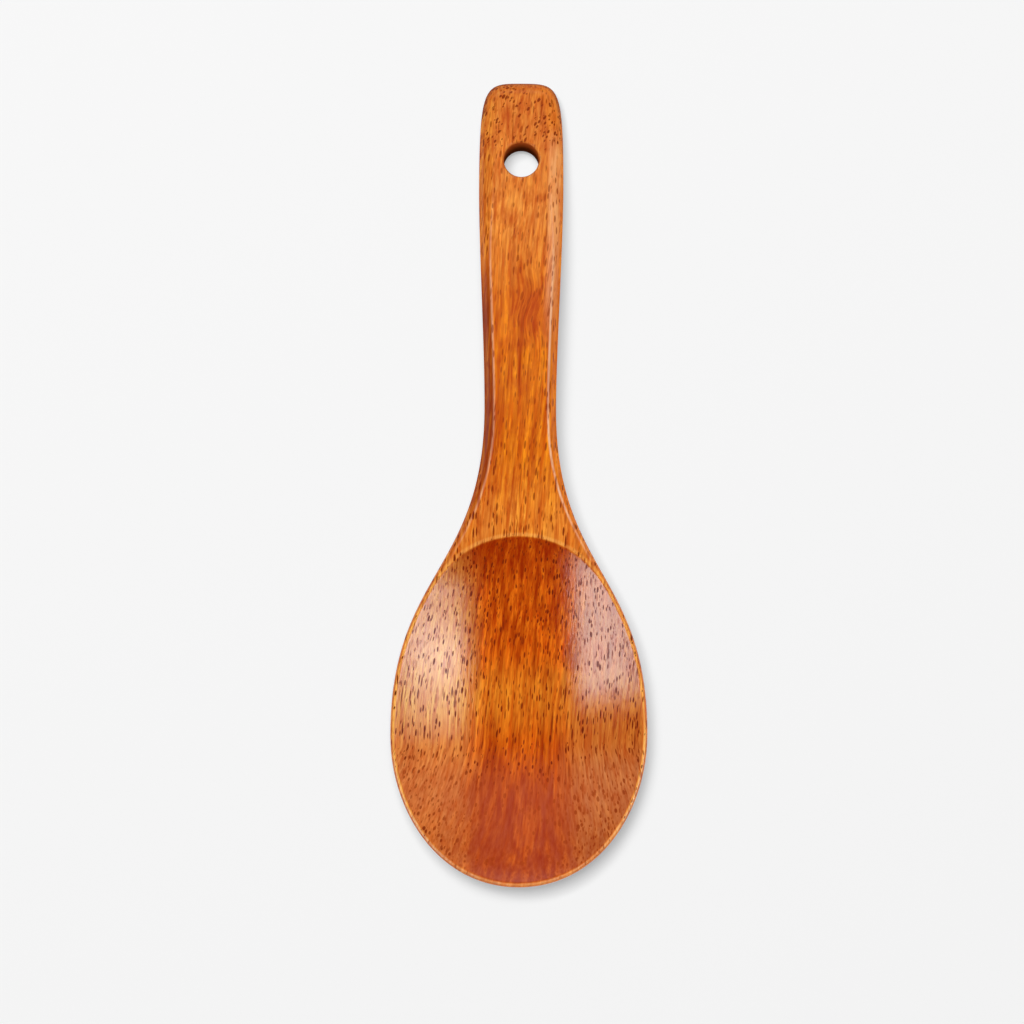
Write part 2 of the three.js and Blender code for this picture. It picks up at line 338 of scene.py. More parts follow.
# Underneath, the section is a superellipse from the edge to the belly.
under = add(carving, "ShaderNodeMath", column, size["Columns on top"], operation="SUBTRACT")
under = add(carving, "ShaderNodeMath", under, size["Columns on back"], operation="DIVIDE", use_clamp=True)
turn = add(carving, "ShaderNodeMath", under, math.pi / 2, operation="MULTIPLY")
out = add(carving, "ShaderNodeMath", turn, operation="COSINE", use_clamp=True)
out_power = add(carving, "ShaderNodeMath", 2.0, power_across, operation="DIVIDE")
out = add(carving, "ShaderNodeMath", out, out_power, operation="POWER")
back_x = add(carving, "ShaderNodeMath", station_x, out, operation="MULTIPLY")
down = add(carving, "ShaderNodeMath", turn, operation="SINE", use_clamp=True)
down_power = add(carving, "ShaderNodeMath", 2.0, power_down, operation="DIVIDE")
down = add(carving, "ShaderNodeMath", down, down_power, operation="POWER")
back_fall = add(carving, "ShaderNodeMath", belly_z, edge_z, operation="SUBTRACT")
back_z = add(carving, "ShaderNodeMath", back_fall, down, edge_z, operation="MULTIPLY_ADD")

# Sections lean to stay square to the crown, and the sole is sanded flat on the table.
on_top = add(carving, "FunctionNodeCompare", column, size["Columns on top"], operation="LESS_EQUAL")
section_x = add(carving, "GeometryNodeSwitch", on_top, back_x, top_x, input_type="FLOAT")
section_x = add(carving, "ShaderNodeMath", section_x, side, operation="MULTIPLY")
lean_z = add(carving, "GeometryNodeSwitch", on_top, back_z, blank_z, input_type="FLOAT")
lean_by = add(carving, "ShaderNodeMath", edge_z, lean_z, operation="SUBTRACT")
section_y = add(carving, "ShaderNodeMath", lean_by, crown_lean, station, operation="MULTIPLY_ADD")
section_y = add(carving, "ShaderNodeMath", size["Length"], -0.5, section_y, operation="MULTIPLY_ADD")
section_z = add(carving, "GeometryNodeSwitch", on_top, back_z, top_z, input_type="FLOAT")
section_z = add(carving, "ShaderNodeMath", section_z, 0.0, size["Sole softness"], operation="SMOOTH_MAX")
section_place = add(carving, "ShaderNodeCombineXYZ", section_x, section_y, section_z)

# Three distances are kept for the colours of the wood: how deep the dish is cut, how far the outline
# is, and how far the arris is where the edge starts. The back counts as far outside the dish.
OUTSIDE_DISH = -20.0
WELD = 1e-5
hollow = add(carving, "ShaderNodeMath", blank_z, dish_z, operation="SUBTRACT")
from_arris = add(carving, "ShaderNodeMath", from_outline, edge_width, operation="SUBTRACT")
below_arris = add(carving, "ShaderNodeMath", edge_width, -1.0, operation="MULTIPLY")
kept_distances = {
    "hollow": (OUTSIDE_DISH, hollow),
    "from_outline": (0.0, from_outline),
    "from_arris": (below_arris, from_arris),
}
marked = grid
for name, (on_back, distance) in kept_distances.items():
    kept = add(carving, "GeometryNodeSwitch", on_top, on_back, distance, input_type="FLOAT")
    marked = add(carving, "GeometryNodeStoreNamedAttribute", marked, True, name, kept, data_type="FLOAT")
lofted = add(carving, "GeometryNodeSetPosition", marked, True, section_place)
lofted = add(carving, "GeometryNodeMergeByDistance", lofted, True, WELD)

# The drill widens at both mouths, where the hole's edges are broken. MM is a millimetre in metres.
DRILL_OVERRUN = 5.0
DRILL_ROWS = 140
DRILL_SIDES = 96
MOUTH_FLARE = 2.5
HOLE_WELD = 2e-3
MM = 0.001
mouth_size = size["Hole mouth"]
drill_foot = add(carving, "ShaderNodeMath", size["Hole depth"], -1.0, operation="MULTIPLY")
drill_end = add(carving, "ShaderNodeMath", drill_foot, DRILL_OVERRUN, operation="SUBTRACT")
drill_end = add(carving, "ShaderNodeCombineXYZ", 0.0, 0.0, drill_end)
drill_line = add(carving, "GeometryNodeCurvePrimitiveLine", (0, 0, DRILL_OVERRUN), drill_end)
drill_line = add(carving, "GeometryNodeResampleCurve", drill_line, True, DRILL_ROWS)
drill_z = add(carving, "ShaderNodeSeparateXYZ", add(carving, "GeometryNodeInputPosition")).node.outputs["Z"]
mouth_start = add(carving, "ShaderNodeMath", mouth_size, -1.0, operation="MULTIPLY")
upper_mouth = add(carving, "ShaderNodeMapRange", drill_z, 0.0, mouth_start, 1.0, 0.0)
foot_end = add(carving, "ShaderNodeMath", drill_foot, mouth_size, operation="ADD")
lower_mouth = add(carving, "ShaderNodeMapRange", drill_z, drill_foot, foot_end, 1.0, 0.0)
mouth = add(carving, "ShaderNodeMath", upper_mouth, lower_mouth, operation="MAXIMUM")
mouth = add(carving, "ShaderNodeMath", mouth, MOUTH_FLARE, operation="POWER")
hole_radius = add(carving, "ShaderNodeMath", size["Hole diameter"], 0.5, operation="MULTIPLY")
drill_radius = add(carving, "ShaderNodeMath", mouth, mouth_size, hole_radius, operation="MULTIPLY_ADD")
drill_round = add(carving, "GeometryNodeCurvePrimitiveCircle", DRILL_SIDES, 1.0)
drill = add(carving, "GeometryNodeCurveToMesh", drill_line, drill_round, drill_radius, True)
hole_station = size["Hole station"]
hole_y = add(carving, "ShaderNodeMath", size["Length"], -0.5, hole_station, operation="MULTIPLY_ADD")
hole_place = add(carving, "ShaderNodeCombineXYZ", 0.0, hole_y, size["Hole height"])
hole_turn = add(carving, "ShaderNodeCombineXYZ", size["Hole tilt"], 0.0, 0.0)
drill = add(carving, "GeometryNodeTransform", drill, hole_place, hole_turn)
drilled = add(carving, "GeometryNodeMeshBoolean", lofted, drill, operation="DIFFERENCE", solver="MANIFOLD")
drilled = add(carving, "GeometryNodeMergeByDistance", drilled, True, HOLE_WELD)
drilled = add(carving, "GeometryNodeSetShadeSmooth", drilled, True, True)
in_metres = add(carving, "GeometryNodeTransform", drilled, None, None, (MM, MM, MM))
finished = add(carving, "GeometryNodeRealizeInstances", in_metres)
finished = add(carving, "GeometryNodeSetMaterial", finished, True, size["Wood"])
add(carving, "NodeGroupOutput", finished)


def linear(code):
    """Turns an sRGB hex colour to a linear one."""
    parts = [int(code[i : i + 2], 16) / 255 for i in (1, 3, 5)]
    return [p / 12.92 if p <= 0.04045 else ((p + 0.055) / 1.055) ** 2.4 for p in parts] + [1.0]


# Lacquered open-pored hardwood, stained orange. Fibres and streaks run along the length, and the
# vessels show as dark dashes. The clear coat is glossy, thinner over the pores and lifted a little by
# the fibres, so its reflections are soft and broken.

# Pattern sizes are in millimetres, and x, y and z start from the turner's middle on the table. In a
# Map Range the numbers are two ends of a measure and the shares at those ends.
wood = bpy.data.materials.new("lacquered_open_pored_wood")
wood.use_nodes = True
wood.node_tree.nodes.clear()
grain = wood.node_tree
eased = {"interpolation_type": "SMOOTHSTEP"}
place = add(grain, "ShaderNodeTexCoord").node.outputs["Object"]
place = add(grain, "ShaderNodeVectorMath", place, 1 / MM, operation="SCALE")
x, y, z = add(grain, "ShaderNodeSeparateXYZ", place).node.outputs
on_wood = {}
for name in kept_distances:
    on_wood[name] = add(grain, "ShaderNodeAttribute", attribute_name=name).node.outputs["Fac"]
hollow, from_outline, from_arris = on_wood.values()

# The grain leans to the right towards the grip, fans out towards the tip, wanders a little on its way
# and swirls aside at a small knot on the grip.
KNOT_X = 3.0
KNOT_Y = 50.5
KNOT_WIDTH = 6.5
KNOT_LENGTH = 9
KNOT_LEAN = -0.28
GRAIN_LEAN = -0.08
WANDER_WIDTH = 14
WANDER_LENGTH = 42
WANDER_REACH = 3.0
knot_scale = (1 / KNOT_WIDTH, 1 / KNOT_LENGTH, 0.0)
from_knot = add(grain, "ShaderNodeVectorMath", place, (KNOT_X, KNOT_Y, 0.0), operation="SUBTRACT")
from_knot = add(grain, "ShaderNodeVectorMath", from_knot, knot_scale, operation="MULTIPLY")
from_knot = add(grain, "ShaderNodeVectorMath", from_knot, operation="LENGTH")
knot = add(grain, "ShaderNodeMapRange", from_knot, 0.1, 1.2, 1.0, 0.0, **eased)
lean = add(grain, "ShaderNodeMath", knot, KNOT_LEAN, GRAIN_LEAN, operation="MULTIPLY_ADD")
past_knot = add(grain, "ShaderNodeMath", y, KNOT_Y, operation="SUBTRACT")
fan = add(grain, "ShaderNodeMapRange", y, -75.0, -115.0, 1.0, 0.62)
fanned_x = add(grain, "ShaderNodeMath", x, fan, operation="MULTIPLY")
leaning_x = add(grain, "ShaderNodeMath", past_knot, lean, fanned_x, operation="MULTIPLY_ADD")
straight = add(grain, "ShaderNodeCombineXYZ", leaning_x, y, z)
wander_scale = (1 / WANDER_WIDTH, 1 / WANDER_LENGTH, 1 / WANDER_WIDTH)
wander = add(grain, "ShaderNodeVectorMath", straight, wander_scale, operation="MULTIPLY")
wander = add(grain, "ShaderNodeTexNoise", wander, 1.0, 2.0, 0.5).node.outputs["Color"]
wander_by = (WANDER_REACH, 0.0, WANDER_REACH)
fibre_place = add(grain, "ShaderNodeVectorMath", wander, wander_by, straight, operation="MULTIPLY_ADD")

# Broad bands, streaks, lines, fibres and soft patches: the width, length and detail of each, and the
# noise that makes its share none and full. They are deeper than wide, so that they run on over a slope.
# Real fibres are finer than a pixel, so they are drawn 0.4 mm wide.
FIGURE_DEPTH = 2
figure_sizes = {
    "bands": (6.0, 80.0, 2.0, 0.38, 0.62),
    "streaks": (1.5, 28.0, 3.0, 0.39, 0.63),
    "lines": (0.7, 14.0, 2.0, 0.34, 0.66),
    "fibres": (0.4, 4.0, 2.0, 0.3, 0.7),
    "patches": (4.2, 6.5, 3.0, 0.5, 0.72),
}
figure = {}
for name, (wide, long, detail, low, high) in figure_sizes.items():
    stretch = (1 / wide, 1 / long, 1 / (FIGURE_DEPTH * wide))
    stretched = add(grain, "ShaderNodeVectorMath", fibre_place, stretch, operation="MULTIPLY")
    noise = add(grain, "ShaderNodeTexNoise", stretched, 1.0, detail, 0.6)
    figure[name] = add(grain, "ShaderNodeMapRange", noise, low, high, 0.0, 1.0)

# The grip and neck are golden orange, paler towards the end and the dish. Patches and the knot are redder.
bands_from = linear("#ee8210")
bands_to = linear("#de6a08")
colour = add(grain, "ShaderNodeMix", figure["bands"], bands_from, bands_to, data_type="RGBA")
streak_share = add(grain, "ShaderNodeMath", figure["streaks"], 0.8, operation="MULTIPLY")
patch_share = add(grain, "ShaderNodeMath", knot, 1.2, figure["patches"], operation="MULTIPLY_ADD")
patch_share = add(grain, "ShaderNodeMath", patch_share, 0.68, operation="MULTIPLY", use_clamp=True)
paler_grip = add(grain, "ShaderNodeMapRange", y, 48.0, 80.0, 0.0, 0.45, **eased)
paler_neck = add(grain, "ShaderNodeMapRange", y, 12.0, -14.0, 0.0, 0.36, **eased)
paler = add(grain, "ShaderNodeMath", paler_grip, paler_neck, operation="MAXIMUM")
for share, code in [(streak_share, "#ba4e08"), (paler, "#f49a40"), (patch_share, "#c04c0a")]:
    colour = add(grain, "ShaderNodeMix", share, colour, linear(code), data_type="RGBA")

# The dish has colours of its own: mahogany under the arc, orange and gold in the middle, tan on the walls
# and red at the tip. The left wall's gold is painted under its highlight, to give the highlight a cream
# colour.
ARC_Y = DISH_TOP_AT - LENGTH / 2
MAHOGANY_REACH = 35
GOLD_Y = -61.0
RIGHT_GOLD_Y = -69.0
TIP_RED = 0.85
LOW_WALLS = 0.38
in_dish = add(grain, "ShaderNodeMapRange", hollow, -0.1, 0.25, 0.0, 1.0, **eased)
off_middle = add(grain, "ShaderNodeMath", x, operation="ABSOLUTE")
arc_sweep = add(grain, "ShaderNodeMath", x, x, operation="MULTIPLY")
arc_sweep = add(grain, "ShaderNodeMath", arc_sweep, 1 / (2 * DISH_ARC_RADIUS), y, operation="MULTIPLY_ADD")
under_arc = add(grain, "ShaderNodeMapRange", arc_sweep, ARC_Y - MAHOGANY_REACH, ARC_Y, 0.0, 1.0)
under_arc = add(grain, "ShaderNodeMath", under_arc, 1.4, operation="POWER")
under_streaks = add(grain, "ShaderNodeMapRange", figure["streaks"], 0.0, 1.0, 0.7, 1.0)
off_left = add(grain, "ShaderNodeMapRange", x, -22.0, -12.0, 0.5, 1.0)
off_right = add(grain, "ShaderNodeMapRange", x, 10.0, 16.0, 1.0, 0.3)
for share in (under_streaks, off_left, off_right):
    under_arc = add(grain, "ShaderNodeMath", under_arc, share, operation="MULTIPLY")
gold_strip = add(grain, "ShaderNodeMath", y, GOLD_Y, operation="SUBTRACT")
gold_strip = add(grain, "ShaderNodeMath", gold_strip, operation="ABSOLUTE")
gold_strip = add(grain, "ShaderNodeMapRange", gold_strip, 2.0, 14.0, 0.48, 0.0, **eased)
left_wall = add(grain, "ShaderNodeMapRange", x, -9.0, -19.0, 0.0, 0.65, **eased)
# Towards the arc the left wall is painted gold under its highlight, so that the highlight shows cream.
left_wall_highlight_gold = add(grain, "ShaderNodeMapRange", y, -80.0, -60.0, 0.0, 1.0, **eased)
left_wall_highlight_gold = add(grain, "ShaderNodeMath", left_wall_highlight_gold, left_wall, operation="MULTIPLY")
right_wall = add(grain, "ShaderNodeMapRange", x, 10.0, 20.0, 0.0, 0.66, **eased)
right_gold = add(grain, "ShaderNodeMath", y, RIGHT_GOLD_Y, operation="SUBTRACT")
right_gold = add(grain, "ShaderNodeMath", right_gold, operation="ABSOLUTE")
right_gold = add(grain, "ShaderNodeMapRange", right_gold, 4.0, 14.0, 0.9, 0.0, **eased)
right_gold = add(grain, "ShaderNodeMath", right_gold, right_wall, operation="MULTIPLY")
tip_red = add(grain, "ShaderNodeMapRange", y, -75.0, -92.0, 0.0, TIP_RED, **eased)
tip_middle = add(grain, "ShaderNodeMapRange", off_middle, 10.0, 26.0, 1.0, 0.25)
for share in (tip_middle, under_streaks):
    tip_red = add(grain, "ShaderNodeMath", tip_red, share, operation="MULTIPLY")
low_walls = add(grain, "ShaderNodeMapRange", y, -68.0, -84.0, 0.0, LOW_WALLS, **eased)
off_floor = add(grain, "ShaderNodeMapRange", off_middle, 8.0, 20.0, 0.0, 1.0)
off_tip = add(grain, "ShaderNodeMapRange", y, -90.0, -102.0, 1.0, 0.3)
for share in (off_floor, off_tip):
    low_walls = add(grain, "ShaderNodeMath", low_walls, share, operation="MULTIPLY")
dish_bands = add(grain, "ShaderNodeMath", figure["bands"], 0.5, operation="MULTIPLY")
dish_layers = [
    (figure["streaks"], "#a43402"),
    (dish_bands, "#b84804"),
    (gold_strip, "#ea8a22"),
    (left_wall, "#e08236"),
    (left_wall_highlight_gold, "#e09838"),
    (right_wall, "#b06c34"),
    (right_gold, "#d06608"),
    (tip_red, "#aa4022"),
    (low_walls, "#de7e4a"),
    (under_arc, "#a43200"),
]
dish_colour = linear("#f67410")
for share, code in dish_layers:
    dish_colour = add(grain, "ShaderNodeMix", share, dish_colour, linear(code), data_type="RGBA")
colour = add(grain, "ShaderNodeMix", in_dish, colour, dish_colour, data_type="RGBA")

# A pale line or fibre is yellower than the wood around it, and a dark one is redder. Both are calmer
# towards the tip.
CALM_SHARE = 0.47
tints = [
    (figure["lines"], (1.1, 1.36, 1.6), (0.8, 0.54, 0.44)),
    (figure["fibres"], (0.91, 0.81, 0.72), (1.07, 1.19, 1.3)),
]
calm = add(grain, "ShaderNodeMapRange", y, -70.0, -90.0, 0.0, 0.4)
for share, at_none, at_full in tints:
    calmed = add(grain, "ShaderNodeMix", calm, share, CALM_SHARE)
    tint = add(grain, "ShaderNodeMix", calmed, at_none, at_full, data_type="VECTOR")
    colour = add(grain, "ShaderNodeVectorMath", colour, tint, operation="MULTIPLY")

# The left edge of the neck and grip, a little past the arris, is painted darker, as shade on that side, and
# the right edge is painted paler, as light falling on it.
LEFT_SHADE_OVERLAP = 0.45
left_side = add(grain, "ShaderNodeMapRange", x, -4.0, -7.0, 0.0, 1.0)
from_arris = add(grain, "ShaderNodeMath", left_side, -LEFT_SHADE_OVERLAP, from_arris, operation="MULTIPLY_ADD")
on_edge = add(grain, "ShaderNodeMapRange", from_arris, 0.05, -0.3, 0.0, 1.0)
left_shade_on_grip = add(grain, "ShaderNodeMapRange", y, 47.0, 67.0, 1.0, 0.1, **eased)
left_shade_on_neck = add(grain, "ShaderNodeMapRange", y, -22.0, 14.0, 0.3, 1.0, **eased)
painted_left_shade = add(grain, "ShaderNodeMapRange", figure["lines"], 0.0, 1.0, 0.55, 1.0)
for share in (on_edge, left_side, left_shade_on_grip, left_shade_on_neck):
    painted_left_shade = add(grain, "ShaderNodeMath", painted_left_shade, share, operation="MULTIPLY")
colour = add(grain, "ShaderNodeMix", painted_left_shade, colour, linear("#8a3414"), data_type="RGBA")
# Painted light on the right edge of the neck and grip.
right_only = add(grain, "ShaderNodeMapRange", x, 4.0, 6.0, 0.0, 1.0)
past_bowl = add(grain, "ShaderNodeMapRange", y, -25.0, -5.0, 0.0, 1.0)
painted_right_light = add(grain, "ShaderNodeMath", on_edge, 0.3, operation="MULTIPLY")
for share in (right_only, past_bowl):
    painted_right_light = add(grain, "ShaderNodeMath", painted_right_light, share, operation="MULTIPLY")
colour = add(grain, "ShaderNodeMix", painted_right_light, colour, linear("#fc8e20"), data_type="RGBA")

# Pale broken lines along the arrises are a painted highlight, the glint of light on the arris.
ARRIS_MIDDLE = -0.1
painted_arris_glint = add(grain, "ShaderNodeMath", from_arris, ARRIS_MIDDLE, operation="SUBTRACT")
painted_arris_glint = add(grain, "ShaderNodeMath", painted_arris_glint, operation="ABSOLUTE")
painted_arris_glint = add(grain, "ShaderNodeMapRange", painted_arris_glint, 0.08, 0.46, 0.85, 0.0)
right_side = add(grain, "ShaderNodeMapRange", x, -6.0, 6.0, 0.5, 1.0)
short_of_end = add(grain, "ShaderNodeMapRange", y, 60.0, 85.0, 1.0, 0.0)
broken = add(grain, "ShaderNodeMapRange", figure["lines"], 0.2, 0.8, 1.0, 0.55)
for share in (past_bowl, short_of_end, right_side, broken):
    painted_arris_glint = add(grain, "ShaderNodeMath", painted_arris_glint, share, operation="MULTIPLY")
colour = add(grain, "ShaderNodeMix", painted_arris_glint, colour, linear("#f4c8a2"), data_type="RGBA")

# A pale broken strip along the right side of the grip, a little in from the outline where its round turns
# to the light, is a painted sheen.
SHEEN_FROM_OUTLINE = 2.6
painted_grip_sheen = add(grain, "ShaderNodeMath", from_outline, SHEEN_FROM_OUTLINE, operation="SUBTRACT")
painted_grip_sheen = add(grain, "ShaderNodeMath", painted_grip_sheen, operation="ABSOLUTE")
painted_grip_sheen = add(grain, "ShaderNodeMapRange", painted_grip_sheen, 0.4, 2.4, 0.5, 0.0, **eased)
on_grip = add(grain, "ShaderNodeMapRange", y, 36.0, 62.0, 0.0, 1.0, **eased)
off_end = add(grain, "ShaderNodeMapRange", y, 94.0, 104.0, 1.0, 0.0, **eased)
for share in (right_only, on_grip, off_end, broken):
    painted_grip_sheen = add(grain, "ShaderNodeMath", painted_grip_sheen, share, operation="MULTIPLY")
colour = add(grain, "ShaderNodeMix", painted_grip_sheen, colour, linear("#f2b886"), data_type="RGBA")

# The rim of the dish is golden, partly worn wood and partly a painted highlight along its rounded lip, and
# the pale patches at the tip are a painted broken highlight.
rim_wear_and_highlight = add(grain, "ShaderNodeMapRange", hollow, -0.6, -0.3, 0.0, 1.0)
to_dish = add(grain, "ShaderNodeMapRange", hollow, -0.1, 0.06, 0.9, 0.0)
off_arc = add(grain, "ShaderNodeMapRange", y, -34.0, -20.0, 1.0, 0.5)
rim_fade_at_tip = add(grain, "ShaderNodeMapRange", y, -92.0, -106.0, 1.0, 0.36)
for share in (to_dish, off_arc, rim_fade_at_tip, broken):
    rim_wear_and_highlight = add(grain, "ShaderNodeMath", rim_wear_and_highlight, share, operation="MULTIPLY")
tip_highlight = add(grain, "ShaderNodeMapRange", y, -92.0, -106.0, 0.0, 1.0)
tip_highlight_patches = add(grain, "ShaderNodeMapRange", figure["patches"], 0.0, 1.0, 0.4, 1.0)
tip_highlight = add(grain, "ShaderNodeMath", tip_highlight, tip_highlight_patches, operation="MULTIPLY")
rim_colour = add(grain, "ShaderNodeMix", tip_highlight, linear("#fab85c"), linear("#f6dcc0"), data_type="RGBA")
colour = add(grain, "ShaderNodeMix", rim_wear_and_highlight, colour, rim_colour, data_type="RGBA")

# The grip's end is cut across the grain and has soaked up more stain, most of all along its outline.
at_end = add(grain, "ShaderNodeMapRange", y, 92.0, 99.0, 0.0, 1.0, **eased)
end_share = add(grain, "ShaderNodeMath", at_end, 0.28, operation="MULTIPLY")
colour = add(grain, "ShaderNodeMix", end_share, colour, linear("#b85a30"), data_type="RGBA")
end_edge = add(grain, "ShaderNodeMapRange", from_outline, 0.3, 1.3, 0.8, 0.0)
last_part = add(grain, "ShaderNodeMapRange", y, 103.0, 109.0, 0.0, 1.0)
end_edge = add(grain, "ShaderNodeMath", end_edge, last_part, operation="MULTIPLY")
colour = add(grain, "ShaderNodeMix", end_edge, colour, linear("#863a12"), data_type="RGBA")

# Pores crowd at the end as short leaning flecks, and some dot the rim.
FLECK_LEAN = -0.4
CROWD_SIZE = 5
crowd = add(grain, "ShaderNodeTexNoise", place, 1 / CROWD_SIZE, 2.0, 0.5)
crowd = add(grain, "ShaderNodeMapRange", crowd, 0.37, 0.5, 0.0, 1.0)
flecked = add(grain, "ShaderNodeMath", rim_wear_and_highlight, 1.15, operation="MULTIPLY", use_clamp=True)
flecked = add(grain, "ShaderNodeMath", at_end, flecked, operation="MAXIMUM")
flecked = add(grain, "ShaderNodeMath", flecked, crowd, operation="MULTIPLY")
fleck_x = add(grain, "ShaderNodeMath", y, FLECK_LEAN, x, operation="MULTIPLY_ADD")
fleck_place = add(grain, "ShaderNodeCombineXYZ", fleck_x, y, z)

# Pores are narrow vessels, each in a cell of its own. Most are a few millimetres long, some run on for
# much longer, and those low in the dish are short. The first kind lies deeper and shows faintly.
# A kind has its cell's width, length and depth, the pore's least and most radius in its cell, its
# darkness, its place, and the share of the surface that it is on.
PORE_EDGE = 0.13
everywhere = 1.0
off_dish = add(grain, "ShaderNodeMath", 1.0, in_dish, operation="SUBTRACT")
low_dish = add(grain, "ShaderNodeMapRange", y, -68.0, -82.0, 0.0, 1.0)
low_dish = add(grain, "ShaderNodeMath", low_dish, in_dish, operation="MULTIPLY")
on_face = add(grain, "ShaderNodeMapRange", from_outline, 2.0, 4.0, 0.0, 1.0)
on_face = add(grain, "ShaderNodeMath", on_face, off_dish, operation="MULTIPLY")
pore_kinds = [
    (0.8, 4.0, 1.0, 0.1, 0.5, 0.37, fibre_place, everywhere),
    (0.72, 5.6, 0.9, -0.12, 0.42, 0.72, fibre_place, everywhere),
    (0.85, 3.6, 0.9, -0.15, 0.47, 0.72, fibre_place, off_dish),
    (0.6, 4.8, 0.8, -0.18, 0.4, 0.85, fibre_place, in_dish),
    (0.76, 3.0, 1.0, -0.14, 0.47, 0.82, fibre_place, in_dish),
    (1.5, 38.0, 2.0, -0.05, 0.28, 0.72, fibre_place, in_dish),
    (0.8, 30.0, 4.5, -0.3, 0.43, 0.66, fibre_place, on_face),
    (0.95, 2.0, 1.2, -0.05, 0.52, 0.95, fibre_place, low_dish),
    (0.95, 1.7, 0.6, 0.12, 0.64, 0.95, fleck_place, flecked),
]
pores = 0.0
for wide, long, deep, least, most, dark, pore_place, share in pore_kinds:
    stretch = (1 / wide, 1 / long, 1 / deep)
    cells = add(grain, "ShaderNodeVectorMath", pore_place, stretch, operation="MULTIPLY")
    cells = add(grain, "ShaderNodeTexVoronoi", cells, 1.0).node.outputs
    chance = add(grain, "ShaderNodeSeparateColor", cells["Color"]).node.outputs["Red"]
    radius = add(grain, "ShaderNodeMapRange", chance, 0.0, 1.0, least, most)
    radius = add(grain, "ShaderNodeMath", radius, share, operation="MULTIPLY")
    inside = add(grain, "ShaderNodeMath", radius, cells["Distance"], operation="SUBTRACT")
    inside = add(grain, "ShaderNodeMapRange", inside, 0.0, PORE_EDGE, 0.0, dark)
    pores = add(grain, "ShaderNodeMath", pores, inside, operation="MAXIMUM")

# They are fainter on the red of the tip, in the middle of the dish, low on its walls and on the grip.
soft_tip = add(grain, "ShaderNodeMapRange", tip_red, 0.0, TIP_RED, 1.0, 0.3)
soft_middle = add(grain, "ShaderNodeMapRange", off_middle, 4.0, 14.0, 0.85, 1.0)
soft_low = add(grain, "ShaderNodeMapRange", low_walls, 0.0, LOW_WALLS, 1.0, 0.65)
soft_grip = add(grain, "ShaderNodeMapRange", y, -5.0, 35.0, 1.0, 0.8)
for share in (soft_tip, soft_middle, soft_low, soft_grip):
    pores = add(grain, "ShaderNodeMath", pores, share, operation="MULTIPLY")
pore_colour = add(grain, "ShaderNodeMix", pores, linear("#b03e0c"), linear("#501206"), data_type="RGBA")
pore_share = add(grain, "ShaderNodeMath", pores, 1.35, operation="MULTIPLY", use_clamp=True)
colour = add(grain, "ShaderNodeMix", pore_share, colour, pore_colour, data_type="RGBA")

# The bore of the hole is bare, and painted darker with depth as shade inside the hole. It is found by the
# distance from the hole's axis.
hole_centre = (0.0, HOLE_AT - LENGTH / 2, hole_height)
bore_from = HOLE_DIAMETER / 2 + 0.3
bore_to = HOLE_DIAMETER / 2 + 0.02
upright = {"rotation_type": "X_AXIS", "invert": True}
to_bore = add(grain, "ShaderNodeVectorMath", place, hole_centre, operation="SUBTRACT")
to_bore = add(grain, "ShaderNodeVectorRotate", to_bore, (0, 0, 0), hole_tilt, **upright)
bore_depth = add(grain, "ShaderNodeSeparateXYZ", to_bore).node.outputs["Z"]
to_bore = add(grain, "ShaderNodeVectorMath", to_bore, (1, 1, 0), operation="MULTIPLY")
to_bore = add(grain, "ShaderNodeVectorMath", to_bore, operation="LENGTH")
bore = add(grain, "ShaderNodeMapRange", to_bore, bore_from, bore_to, 0.0, 1.0)
bore_shade = add(grain, "ShaderNodeMapRange", bore_depth, -0.5, -6.0, 0.0, 1.0)
bore_lit_to_shaded = (linear("#a2461a"), linear("#562208"))
bore_colour = add(grain, "ShaderNodeMix", bore_shade, *bore_lit_to_shaded, data_type="RGBA")
colour = add(grain, "ShaderNodeMix", bore, colour, bore_colour, data_type="RGBA")

# The lacquer is thin on the edges of the neck and grip, at the end and over the pores, and none has
# run into the bore.
thin_edge = add(grain, "ShaderNodeMapRange", from_outline, 0.4, 1.8, 0.85, 0.0)
thin_edge = add(grain, "ShaderNodeMath", thin_edge, past_bowl, operation="MULTIPLY")
thin_end = add(grain, "ShaderNodeMath", at_end, 0.85, operation="MULTIPLY")
thin_pores = add(grain, "ShaderNodeMath", pores, 0.9, operation="MULTIPLY")
thin_coat = bore
for share in (thin_edge, thin_end, thin_pores):
    thin_coat = add(grain, "ShaderNodeMath", thin_coat, share, operation="MAXIMUM")
coat = add(grain, "ShaderNodeMath", 1.0, thin_coat, operation="SUBTRACT")

# The lacquer fills the pores, so they sink in the wood below it, and only the fibres lift its surface.
# The sheen is all in the lacquer, and the wood under it is dull.
PORE_DEPTH = 0.015
FIBRE_LIFT = 0.012
pore_depth = add(grain, "ShaderNodeMath", pores, -PORE_DEPTH, operation="MULTIPLY")
wood_relief = add(grain, "ShaderNodeBump", 1.0, MM, None, pore_depth)
coat_depth = add(grain, "ShaderNodeMath", figure["fibres"], FIBRE_LIFT, operation="MULTIPLY")
coat_relief = add(grain, "ShaderNodeBump", 1.0, MM, None, coat_depth)
lacquer = add(grain, "ShaderNodeBsdfPrincipled", colour)
finish_levels = {
    "Roughness": 0.5,
    "IOR": 1.5,
    "Specular IOR Level": 0.0,
    "Coat Roughness": 0.13,
    "Coat IOR": 1.58,
}
for name, value in finish_levels.items():
    lacquer.node.inputs[name].default_value = value
for name, source in {"Normal": wood_relief, "Coat Weight": coat, "Coat Normal": coat_relief}.items():
    grain.links.new(source, lacquer.node.inputs[name])
add(grain, "ShaderNodeOutputMaterial", lacquer)

